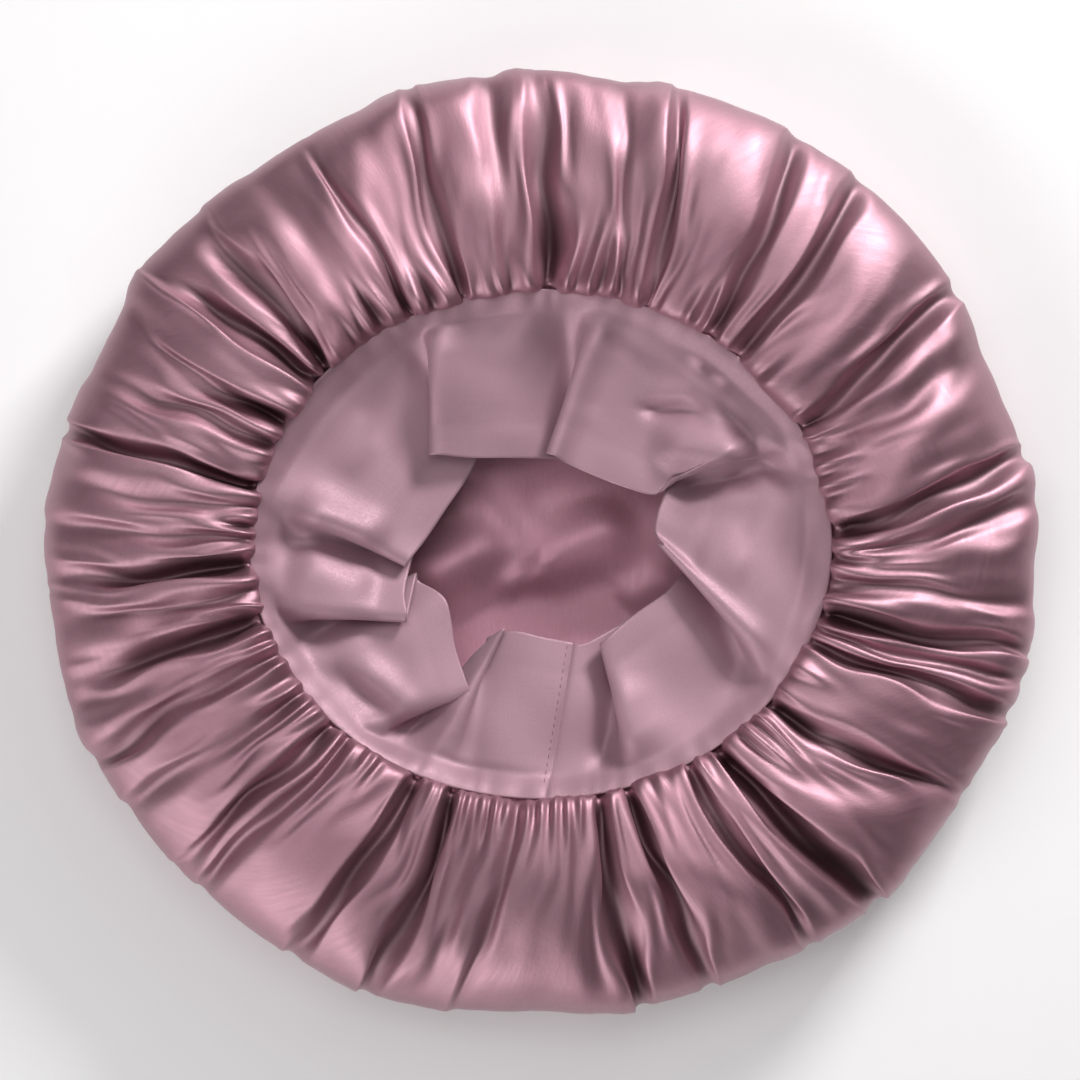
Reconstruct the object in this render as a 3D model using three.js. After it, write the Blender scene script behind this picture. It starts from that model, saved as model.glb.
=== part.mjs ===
// A gathered satin sleep bonnet lying on its crown, opening up.
// Millimetres, +Z up; the origin is the middle of its footprint, on the surface it lies on.
// Three pieces of cloth: the crown bag, the lining inside it, and the wide band round the
// head opening, which is folded in over the bag and lies there in loose pleats.

import * as THREE from "three";

// Driving dimensions
const CLOTH = 1.3; // wall of the crown bag
const LINING_CLOTH = 1.0; // wall of the lining
const BAND_CLOTH = 1.0; // wall of the band
const GAP = 0.4; // clear space between two pieces that touch in the real bonnet
const SEAM_X = 96; // half width of the seam ring where the crown is gathered on to the band
const SEAM_Y = 84; // half depth of the seam ring
const SEAM_Z = 43; // height of the seam ring
const REST_R = 122; // the bag lies flat on the surface out to this radius
const LAYER = 3.2; // height of a pleat's top layer over the cloth between, and of that over the lowest
const SLOPE = 0.35; // the layer between falls from this share of LAYER to the same share below
const FOLD_R = 1.6; // half width of a pleat's rounded edge
const LINING_SLACK = 8; // the lining's rim stays this far inside the crown's
const LINING_RIBS = 48;

// Every crease of the ruffle, counter-clockwise: the angle where it leaves the seam ring, the
// angle and radius where it reaches the rim, and how far it stands above (+) or below (-) the
// bag's mean surface.
const CREASES = [
  { seam: 0, rim: 6, radius: 166, rise: 5 },
  { seam: 4, rim: 10.5, radius: 164.3, rise: -7 },
  { seam: 11, rim: 15, radius: 162, rise: 8 },
  { seam: 20, rim: 20, radius: 160.3, rise: -5 },
  { seam: 23, rim: 25, radius: 161, rise: 2 },
  { seam: 26, rim: 31, radius: 162.4, rise: -6 },
  { seam: 35, rim: 37, radius: 162, rise: 8 },
  { seam: 43, rim: 45, radius: 160.7, rise: -6 },
  { seam: 47, rim: 50, radius: 162, rise: 6 },
  { seam: 51, rim: 55.5, radius: 160.7, rise: -6 },
  { seam: 58, rim: 60.5, radius: 161, rise: 7 },
  { seam: 65, rim: 68, radius: 158.7, rise: -7 },
  { seam: 70, rim: 74, radius: 159.6, rise: 5 },
  { seam: 77, rim: 81, radius: 156.8, rise: -5 },
  { seam: 84, rim: 87, radius: 157, rise: 5 },
  { seam: 90, rim: 91, radius: 158, rise: -7 },
  { seam: 94, rim: 94.5, radius: 159, rise: 2 },
  { seam: 97, rim: 97.5, radius: 157.3, rise: -4 },
  { seam: 100.5, rim: 101, radius: 157.2, rise: 6 },
  { seam: 105, rim: 104.5, radius: 158.4, rise: -5 },
  { seam: 111, rim: 108, radius: 158.6, rise: 7 },
  { seam: 117, rim: 114, radius: 155.4, rise: -5 },
  { seam: 121.5, rim: 119.5, radius: 155.7, rise: 6 },
  { seam: 128, rim: 126, radius: 156.6, rise: -7 },
  { seam: 136, rim: 131.5, radius: 158.4, rise: 6 },
  { seam: 140, rim: 136, radius: 159.6, rise: -6 },
  { seam: 146, rim: 144.5, radius: 162, rise: 6 },
  { seam: 151, rim: 150, radius: 160, rise: -6 },
  { seam: 158, rim: 155, radius: 159.8, rise: 6 },
  { seam: 162, rim: 159, radius: 161, rise: -5 },
  { seam: 167, rim: 165, radius: 163.2, rise: 6 },
  { seam: 171, rim: 170, radius: 163.6, rise: -7 },
  { seam: 175.5, rim: 176, radius: 166, rise: 6 },
  { seam: 179.5, rim: 180, radius: 165, rise: -6 },
  { seam: 185, rim: 184, radius: 164.2, rise: 7 },
  { seam: 190, rim: 188, radius: 164, rise: -5 },
  { seam: 193.5, rim: 192.5, radius: 164.4, rise: 6 },
  { seam: 197, rim: 197, radius: 165, rise: -7 },
  { seam: 200.5, rim: 202, radius: 166.6, rise: 6 },
  { seam: 204, rim: 206, radius: 165.2, rise: -5 },
  { seam: 208, rim: 210, radius: 164, rise: 5 },
  { seam: 212.5, rim: 214.5, radius: 163.5, rise: -6 },
  { seam: 219, rim: 222, radius: 162, rise: 7 },
  { seam: 226, rim: 229, radius: 161, rise: -6 },
  { seam: 233, rim: 235, radius: 160.3, rise: 6 },
  { seam: 241, rim: 241, radius: 160.6, rise: -7 },
  { seam: 246, rim: 246.5, radius: 161.3, rise: 6 },
  { seam: 250.5, rim: 251, radius: 160.5, rise: -7 },
  { seam: 256, rim: 256, radius: 158.6, rise: 6 },
  { seam: 262, rim: 262.5, radius: 156, rise: -5 },
  { seam: 269, rim: 270, radius: 154.8, rise: 7 },
  { seam: 275, rim: 275.5, radius: 155.4, rise: -4 },
  { seam: 279, rim: 279.5, radius: 158, rise: 4 },
  { seam: 283, rim: 283, radius: 158.6, rise: -7 },
  { seam: 286.5, rim: 287, radius: 158, rise: 3 },
  { seam: 290, rim: 291, radius: 158.4, rise: -6 },
  { seam: 298, rim: 298, radius: 159.4, rise: 9 },
  { seam: 304.5, rim: 304, radius: 161, rise: -4 },
  { seam: 308, rim: 308.5, radius: 162.8, rise: 4 },
  { seam: 312.5, rim: 313, radius: 165, rise: -9 },
  { seam: 317, rim: 318, radius: 164, rise: 5 },
  { seam: 320.5, rim: 322, radius: 163.3, rise: -5 },
  { seam: 324.5, rim: 326.5, radius: 163.3, rise: 7 },
  { seam: 329, rim: 331.5, radius: 163.6, rise: -7 },
  { seam: 335, rim: 337, radius: 164.6, rise: 6 },
  { seam: 342, rim: 342.5, radius: 167, rise: -7 },
  { seam: 346, rim: 346.5, radius: 166.6, rise: 5 },
  { seam: 350, rim: 350.5, radius: 166.6, rise: -4 },
  { seam: 353.5, rim: 354, radius: 165.4, rise: 4 },
  { seam: 356.8, rim: 358.5, radius: 163.8, rise: -4 },
];
const WIDE_GAP = 4.2; // creases further apart than this, in degrees, get a rib between them
const ROUND = 0.68; // how full the cloth is between a valley (0) and a ridge (1)

// The bag's section. Below the rim, inward from the rim; above it, from the rim to the seam.
const UNDER = [
  { in: 16, z: 2.6 },
  { in: 5, z: 9 },
  { in: 0, z: 19 },
  { in: 4.5, z: 30 },
];
const OVER = [
  { along: 0.16, z: 39, fold: 0.45 },
  { along: 0.34, z: 47, fold: 0.8 },
  { along: 0.54, z: 51, fold: 1 },
  { along: 0.74, z: 52.5, fold: 0.85 },
  { along: 0.9, z: 50, fold: 0.45 },
  { along: 1, z: SEAM_Z, fold: 0.12 },
];
const LINING_UNDER = [
  { in: 16, z: 4.4 },
  { in: 4, z: 11 },
  { in: 1, z: 19 },
  { in: 7, z: 27 },
];
const LINING_OVER = [
  { along: 0.35, z: 33.5 },
  { along: 0.7, z: 36.5 },
  { along: 1, z: 38 },
];

// The band, counter-clockwise from the right: each rib runs from an angle on the seam ring to a
// point x, y on the band's free edge at height z. A pleat has two such ends, its edge that shows
// and its edge tucked underneath; side says whether the cloth before it or after it lies on top.
const BAND = [
  { seam: 330, pleat: { shows: [38.5, -0.2], tucked: [55, -5.7] }, z: 34, top: "after" },
  { seam: 352, edge: [38, 5.3], z: 33, lift: 3 },
  { seam: 8, edge: [40, 13.3], z: 33, lift: 1 },
  { seam: 20, pleat: { shows: [42, 18.8], tucked: [44, 26.3] }, z: 34, top: "after" },
  { seam: 38, edge: [31, 19.3], z: 32, lift: 5 },
  { seam: 55, edge: [18, 23.3], z: 31, lift: 4 },
  { seam: 68, edge: [9, 26.8], z: 31, lift: 3 },
  { seam: 79, pleat: { shows: [1.5, 29.8], tucked: [13, 27.8] }, z: 32, top: "before" },
  { seam: 94, edge: [-10, 28.3], z: 31, lift: 3 },
  { seam: 106, edge: [-24, 28.3], z: 32, lift: 3 },
  { seam: 118, pleat: { shows: [-36.5, 29.3], tucked: [-17, 31.3] }, z: 33, top: "before" },
  { seam: 136, edge: [-25, 20.3], z: 27, lift: -1 },
  { seam: 150, edge: [-31, 11.3], z: 28, lift: 1 },
  { seam: 163, edge: [-38, 1.3], z: 30, lift: 4 },
  { seam: 175, pleat: { shows: [-44.5, -7.7], tucked: [-40, -1.2] }, z: 32, top: "before" },
  { seam: 185, edge: [-45, -15.7], z: 33, lift: 3.5 },
  { seam: 197, pleat: { shows: [-44, -26.7], tucked: [-41.5, -13.7] }, z: 33, top: "before" },
  { seam: 208, edge: [-31.5, -17.2], z: 30, lift: -1 },
  { seam: 217, edge: [-29, -28.7], z: 30, lift: 1 },
  { seam: 229, edge: [-24.5, -47.2], z: 31.5, lift: 2 },
  { seam: 250, edge: [-21.5, -50.2], z: 30, lift: -0.5 },
  { seam: 260, edge: [-13, -28.7], z: 30, lift: 0 },
  { seam: 268, edge: [2, -30.7], z: 30, lift: 1 },
  { seam: 276, edge: [12, -32.7], z: 30, lift: 0 },
  { seam: 290, pleat: { shows: [19.5, -33.2], tucked: [31, -23.7] }, z: 31, top: "after" },
  { seam: 306, edge: [32, -22.7], z: 31, lift: 3 },
  { seam: 317, edge: [41, -15.7], z: 31, lift: 0 },
];
const PLEAT_SPREAD = 2.2; // degrees of the seam ring between a pleat's own ribs
const BAND_ROWS = [0, 0.1, 0.22, 0.38, 0.58, 0.8, 1]; // from the seam to the free edge

const radians = (degrees) => (degrees * Math.PI) / 180;
const mix = (a, b, t) => a + (b - a) * t;
const smooth = (t) => t * t * (3 - 2 * t);

// A point in the plan at an angle and a distance from the middle of the seam ring
function polar(degrees, radius) {
  return [radius * Math.cos(radians(degrees)), radius * Math.sin(radians(degrees))];
}

function seamRadius(degrees) {
  const angle = radians(degrees);
  return (SEAM_X * SEAM_Y) / Math.hypot(SEAM_Y * Math.cos(angle), SEAM_X * Math.sin(angle));
}

// Creases plus a fuller rib between those that stand wide apart
function crownRibs() {
  const ribs = [];
  CREASES.forEach((crease, i) => {
    const next = CREASES[(i + 1) % CREASES.length];
    const turn = i + 1 === CREASES.length ? 360 : 0;
    ribs.push(crease);
    if (next.rim + turn - crease.rim > WIDE_GAP) {
      const share = crease.rise > next.rise ? ROUND : 1 - ROUND;
      ribs.push({
        seam: (crease.seam + next.seam + turn) / 2,
        rim: (crease.rim + next.rim + turn) / 2,
        radius: (crease.radius + next.radius) / 2,
        rise: mix(next.rise, crease.rise, share),
      });
    }
  });
  return ribs;
}

// One rib of a bag from the middle of its underside, round the rim, to the seam ring
function bagRib(rib, floor, flats, under, over) {
  const points = flats.map((radius) => [...polar(rib.rim, radius), floor]);
  for (const row of under) {
    points.push([...polar(rib.rim, rib.radius - row.in), row.z]);
  }
  const start = rib.radius - under[under.length - 1].in;
  for (const row of over) {
    const angle = mix(rib.rim, rib.seam, row.along);
    const radius = mix(start, seamRadius(rib.seam) + (rib.seamOut ?? 0), row.along);
    points.push([...polar(angle, radius), row.z + rib.rise * (row.fold ?? 0)]);
  }
  return points;
}

// Vertex normals of a mesh given as points and triangles, each triangle counting by its corner
function normalsOf(points, triangles) {
  const normals = points.map(() => new THREE.Vector3());
  for (const corners of triangles) {
    const p = corners.map((k) => new THREE.Vector3(...points[k]));
    const face = p[1].clone().sub(p[0]).cross(p[2].clone().sub(p[0])).normalize();
    corners.forEach((k, i) => {
      const one = p[(i + 1) % 3].clone().sub(p[i]);
      const other = p[(i + 2) % 3].clone().sub(p[i]);
      normals[k].addScaledVector(face, one.angleTo(other));
    });
  }
  return normals.map((n) => n.normalize());
}

function geometryOf(points, triangles) {
  const geometry = new THREE.BufferGeometry();
  geometry.setAttribute("position", new THREE.Float32BufferAttribute(points.flat(), 3));
  geometry.setIndex(triangles.flat());
  geometry.computeVertexNormals();
  return geometry;
}

// The two triangles of a square between rib i and the next, at row j, facing outward
function square(rows, count, i, j, first) {
  const a = first + i * rows + j;
  const b = first + ((i + 1) % count) * rows + j;
  return [
    [a, b, b + 1],
    [a, b + 1, a + 1],
  ];
}

// A bag of cloth: the outer skin made of ribs about a middle point, and an inner skin one
// thickness inside it, joined round the open edge
function bag(ribs, middle, thickness) {
  const rows = ribs[0].length;
  const outer = [middle, ...ribs.flat()];
  const skin = [];
  for (let i = 0; i < ribs.length; i += 1) {
    const next = (i + 1) % ribs.length;
    skin.push([0, 1 + next * rows, 1 + i * rows]);
    for (let j = 0; j < rows - 1; j += 1) {
      for (const [a, b, c] of square(rows, ribs.length, i, j, 1)) {
        skin.push([a, b, c]);
      }
    }
  }
  const normals = normalsOf(outer, skin);
  const inner = outer.map((p, k) => [
    p[0] - normals[k].x * thickness,
    p[1] - normals[k].y * thickness,
    p[2] - normals[k].z * thickness,
  ]);
  const shift = outer.length;
  const triangles = [...skin, ...skin.map(([a, b, c]) => [a + shift, c + shift, b + shift])];
  for (let i = 0; i < ribs.length; i += 1) {
    const a = 1 + i * rows + rows - 1;
    const b = 1 + ((i + 1) % ribs.length) * rows + rows - 1;
    triangles.push([a, b, b + shift], [a, b + shift, a + shift]);
  }
  return geometryOf([...outer, ...inner], triangles);
}

function crownGeometry() {
  const flats = [62, REST_R];
  const ribs = crownRibs().map((rib) => bagRib(rib, 0, flats, UNDER, OVER));
  return bag(ribs, [0, 0, 0], CLOTH);
}

// The crown's rim without its corners
function plainRim(degrees) {
  const angle = radians(degrees);
  return 161 + 4.5 * Math.cos(2 * angle) + 1.2 * Math.sin(angle);
}

function liningGeometry() {
  const floor = CLOTH + GAP;
  const ribs = [];
  for (let i = 0; i < LINING_RIBS; i += 1) {
    const angle = (360 * i) / LINING_RIBS;
    const rib = { seam: angle, rim: angle, radius: plainRim(angle) - LINING_SLACK, rise: 0, seamOut: 2 };
    ribs.push(bagRib(rib, floor, [60, REST_R - 4], LINING_UNDER, LINING_OVER));
  }
  return bag(ribs, [0, 0, floor], LINING_CLOTH);
}

// A pleat's six ribs: two rounded edges, the showing one and the tucked one
function pleatRibs(row) {
  const sign = row.top === "before" ? 1 : -1;
  const [first, second] = row.top === "before"
    ? [row.pleat.shows, row.pleat.tucked]
    : [row.pleat.tucked, row.pleat.shows];
  const run = new THREE.Vector2(second[0] - first[0], second[1] - first[1]);
  run.normalize().multiplyScalar(FOLD_R);
  const end = (point, side, seamStep, lift) => ({
    seam: row.seam + seamStep * PLEAT_SPREAD,
    edge: [point[0] + side * run.x, point[1] + side * run.y],
    z: row.z,
    lift,
  });
  return [
    end(first, 1, -2.5, sign * LAYER),
    end(first, 0, -1.5, (sign * LAYER * (1 + SLOPE)) / 2),
    end(first, 1, -0.5, sign * LAYER * SLOPE),
    end(second, -1, 0.5, -sign * LAYER * SLOPE),
    end(second, 0, 1.5, (-sign * LAYER * (1 + SLOPE)) / 2),
    end(second, -1, 2.5, -sign * LAYER),
  ];
}

function bandGeometry() {
  const inset = GAP + BAND_CLOTH / 2;
  const ribs = BAND.flatMap((row) => (row.pleat ? pleatRibs(row) : [row]));
  const points = [];
  for (const rib of ribs) {
    const start = polar(rib.seam, seamRadius(rib.seam) - inset);
    for (const t of BAND_ROWS) {
      const raised = rib.lift * smooth(Math.min(1, t / BAND_ROWS[2]));
      points.push([
        mix(start[0], rib.edge[0], t),
        mix(start[1], rib.edge[1], t),
        mix(SEAM_Z, rib.z, t) + raised,
      ]);
    }
  }
  const rows = BAND_ROWS.length;
  const skin = [];
  for (let i = 0; i < ribs.length; i += 1) {
    for (let j = 0; j < rows - 1; j += 1) {
      skin.push(...square(rows, ribs.length, i, j, 0));
    }
  }
  const normals = normalsOf(points, skin);
  const half = BAND_CLOTH / 2;
  const side = (k) => points.map((p, i) => [
    p[0] + k * normals[i].x,
    p[1] + k * normals[i].y,
    p[2] + k * normals[i].z,
  ]);
  const shift = points.length;
  const triangles = [...skin, ...skin.map(([a, b, c]) => [a + shift, c + shift, b + shift])];
  for (let i = 0; i < ribs.length; i += 1) {
    const next = (i + 1) % ribs.length;
    const seamA = i * rows;
    const seamB = next * rows;
    triangles.push([seamA, seamB + shift, seamB], [seamA, seamA + shift, seamB + shift]);
    const edgeA = seamA + rows - 1;
    const edgeB = seamB + rows - 1;
    triangles.push([edgeA, edgeB, edgeB + shift], [edgeA, edgeB + shift, edgeA + shift]);
  }
  return geometryOf([...side(half), ...side(-half)], triangles);
}

function cloth(name, geometry, color, roughness) {
  const material = new THREE.MeshStandardMaterial({ color, roughness, metalness: 0 });
  const mesh = new THREE.Mesh(geometry, material);
  mesh.name = name;
  return mesh;
}

const crown = cloth("crown_outer", crownGeometry(), 0x946e7b, 0.35);
const lining = cloth("crown_lining", liningGeometry(), 0x8c6572, 0.45);
const band = cloth("head_band", bandGeometry(), 0xb18c99, 0.8);

const bonnet = new THREE.Group();
bonnet.add(crown, lining, band);

// The seam ring is a little off the middle of the footprint
crown.geometry.computeBoundingBox();
const middle = crown.geometry.boundingBox.getCenter(new THREE.Vector3());
bonnet.position.set(-middle.x, -middle.y, 0);

export default bonnet;
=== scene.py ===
"""A gathered satin sleep bonnet lying on its crown and opening up: the crown bag, its lining, the
wide band folded in over it, the band's seam and stitches, and the table and lights. Metres, +Z up."""

import math

import bmesh
import bpy
import numpy as np
from bpy.props import FloatProperty, FloatVectorProperty, IntProperty, PointerProperty
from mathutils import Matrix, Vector


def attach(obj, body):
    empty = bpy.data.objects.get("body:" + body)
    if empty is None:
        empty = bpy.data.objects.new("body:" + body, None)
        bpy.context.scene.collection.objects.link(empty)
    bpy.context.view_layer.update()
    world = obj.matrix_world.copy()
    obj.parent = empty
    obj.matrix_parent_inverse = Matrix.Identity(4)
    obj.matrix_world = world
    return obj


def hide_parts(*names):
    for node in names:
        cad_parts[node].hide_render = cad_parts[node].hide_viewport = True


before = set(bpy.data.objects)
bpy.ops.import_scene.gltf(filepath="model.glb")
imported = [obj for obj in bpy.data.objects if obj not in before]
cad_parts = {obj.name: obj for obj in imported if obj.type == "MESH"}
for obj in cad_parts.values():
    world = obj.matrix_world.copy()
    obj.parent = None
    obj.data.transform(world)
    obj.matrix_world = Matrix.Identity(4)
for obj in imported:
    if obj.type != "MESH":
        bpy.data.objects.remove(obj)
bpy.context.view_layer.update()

bl_info = {
    "name": "Sleep Bonnet",
    "version": (1, 0, 0),
    "blender": (4, 5, 0),
    "location": "View3D > Sidebar > Bonnet",
    "description": "Builds a gathered satin sleep bonnet lying on its crown",
    "category": "Object",
}

MM = 0.001
TURN = 2 * math.pi
RING_MIDDLE = (0.25 * MM, -1.34 * MM)  # the seam ring's middle, a little off the footprint's
LIFT = 0.6 * MM  # keeps the underside's wrinkles off the table

# The crown's creases, counter-clockwise: the edges, tops and valleys of its folds. Columns: angle
# at the seam ring; angle at the rim; radius of the rim in mm; height of the fold over (+) or under
# (-) the mean in mm, from the ring to half way; the same at the rim.
CREASES = [
    (2.8, 10.5, 164.5, -14, -9), (5.5, 13, 163, 5, 2), (12, 18, 161, 6, 1), (20.5, 23.5, 160.5, -4, -1),
    (23, 28.5, 161.5, 6, 6), (24.8, 31.5, 162, -12, -8), (27, 34, 162.3, 4, 3), (35, 40, 161.5, 7, 4),
    (41, 45, 161, 4, 3), (43.8, 48.8, 161.5, -10, -8), (46.5, 51.5, 161, 6, 4), (48.8, 54, 160.5, 4, 1),
    (51, 57.8, 161, -10, -9), (54, 61, 160.5, 5, 5), (61, 66, 159.5, 6, 2), (65, 71, 159, 4, 2),
    (66.3, 73.2, 159.3, -12, -3), (69, 75, 159.5, 6, 6), (72, 77.5, 158.5, 2, -2),
    (73.3, 80, 157.5, -3, -8), (77, 83.5, 157, 5, -2), (84, 87.5, 157.5, 5, 4), (88.3, 91.2, 158, -14, -1),
    (91.5, 93.5, 158.5, 4, 4), (96.5, 96.5, 157.5, -3, -9), (99.5, 100, 157.3, 6, 5),
    (104.5, 104.5, 158, 3, 3), (107.3, 106.3, 158.5, -10, -3), (109, 108.5, 158.5, 7, 7),
    (114.5, 113, 156.5, 2, 1), (118, 117.5, 156, 5, 3), (119.3, 120, 156, -5, -1), (121, 122, 156.3, 5, 1),
    (128, 127.5, 157, -3, -2), (134.5, 131.5, 158.5, 6, 2), (138.5, 134, 159, 5, 1),
    (141.2, 136.5, 159.5, -15, -3), (142.4, 141, 160.5, 1, 1), (144, 145, 162, -14, 1),
    (148, 147, 162, 6, 7), (152.5, 150.5, 160.5, 5, -3), (154.5, 153, 160, -6, -2), (157, 156, 159.8, 5, 2),
    (159.5, 158.8, 160.5, -5, 0), (163.5, 162, 162.5, 6, 4), (166.8, 164.6, 163.2, 3, 5),
    (168.3, 166.3, 163.3, -14, -8), (170.5, 168.5, 163.5, 6, 6), (174, 172.5, 165, -3, 1),
    (177.3, 175.5, 166, 4, 3), (178.6, 177.5, 165.8, -6, -3), (181, 180.8, 165.3, 6, 6),
    (183.6, 184, 164.5, -14, 2), (187, 186.5, 164.2, 5, 2), (190.5, 189.5, 164, -5, 1),
    (193, 193, 164.4, 6, 4), (195, 196.5, 165, -14, 1), (197.5, 199.8, 166, 4, -4),
    (200.5, 203, 166.6, 6, 7), (203, 206, 165.6, -6, -8), (205.5, 208.5, 164.4, 6, 5),
    (209, 210.3, 164, 5, 4), (211.5, 212.5, 163.7, -5, -8), (215.5, 217, 163, 4, -1),
    (219, 220, 162.3, 6, 1), (220.6, 221.6, 162, -10, -1), (223.6, 223.8, 161.7, 5, 5),
    (225, 225.3, 161.5, -6, -8), (227.5, 228, 161.2, 5, 1), (233, 233.5, 160.6, 5, 3),
    (239.8, 236.5, 160.5, 5, 4), (241.8, 238.8, 160.6, -14, -8), (243.8, 242, 160.9, 6, 1),
    (248, 246.8, 161.3, 6, 6), (250.3, 248.6, 161, -14, -9), (252.5, 251.5, 160.2, 4, 3),
    (257, 255, 159.3, -3, 1), (260.5, 258, 158.3, 4, 4), (264.5, 259.8, 157.5, -5, -3),
    (266.5, 263, 156.3, 4, 2), (273, 270, 154.8, 7, 4), (279, 277.5, 157, 6, 5),
    (281.8, 280.6, 158.5, 6, 6), (283.2, 282.2, 158.8, -15, -14), (286, 285.5, 158.2, 4, 4),
    (288.2, 288.5, 158, 3, 4), (289.6, 291, 158.4, -15, -8), (291.4, 293, 159, 6, 6),
    (297.5, 298, 159.6, 7, -1), (302.8, 302, 160.8, 6, 4), (304.3, 304, 161.2, -10, -4),
    (306, 306.2, 161.8, 5, 5), (308.8, 309.6, 163.2, 6, 5), (311, 313, 165, -16, -15),
    (312.8, 315.6, 165.3, 7, 7), (317.3, 319, 164, 4, 1), (320.5, 323, 163.4, 5, 3),
    (323.6, 327, 163.3, 5, 5), (325.2, 329.2, 163.5, -12, -3), (328.5, 331.5, 163.8, 3, -2),
    (333.5, 335, 164.4, 4, 2), (337.8, 338, 165.6, 7, 7), (340.4, 340.2, 166.4, -10, -8),
    (342, 342.4, 167, 5, 5), (343.6, 344, 167, -4, -8), (344.8, 346, 166.7, 6, 6),
    (346.2, 347.4, 166.6, -14, -2), (348.6, 350.3, 166.6, 5, 6), (351.5, 353.2, 165.6, -3, -3),
    (355.5, 358, 164, 4, 0), (357.3, 362.3, 165, 7, 6), (359, 365, 165.3, -3, -3), (361, 368.3, 166, 5, 7),
]

# The bag's section from its flat underside round the rim, then over to the seam ring. Columns:
# distance in from the rim, or share of the way to the ring; height in mm; strength of the folds;
# fullness, the cloth's length round the bag as a multiple of the way round.
UNDER = [
    (36, 0, 0, 1), (26, 0.6, 0.02, 1), (16, 2.6, 0.08, 1.02), (9, 6, 0.16, 1.05), (3.5, 11, 0.22, 1.08),
    (0, 23, 0.3, 1.1), (0.8, 30, 0.42, 1.14), (3, 36, 0.6, 1.18),
]
OVER = [
    (0.07, 40, 0.75, 1.22), (0.17, 44, 0.88, 1.27), (0.34, 48, 0.96, 1.34), (0.54, 50.5, 1, 1.42),
    (0.74, 51.5, 1, 1.5), (0.88, 50.5, 0.9, 1.5), (0.955, 49.5, 0.8, 1.45), (1, 48, 0.7, 1.35),
    (1.04, 45, 0.45, 1.2), (1.045, 40, 0.12, 1.1), (1, 36.5, 0.05, 1.1),
]

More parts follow.
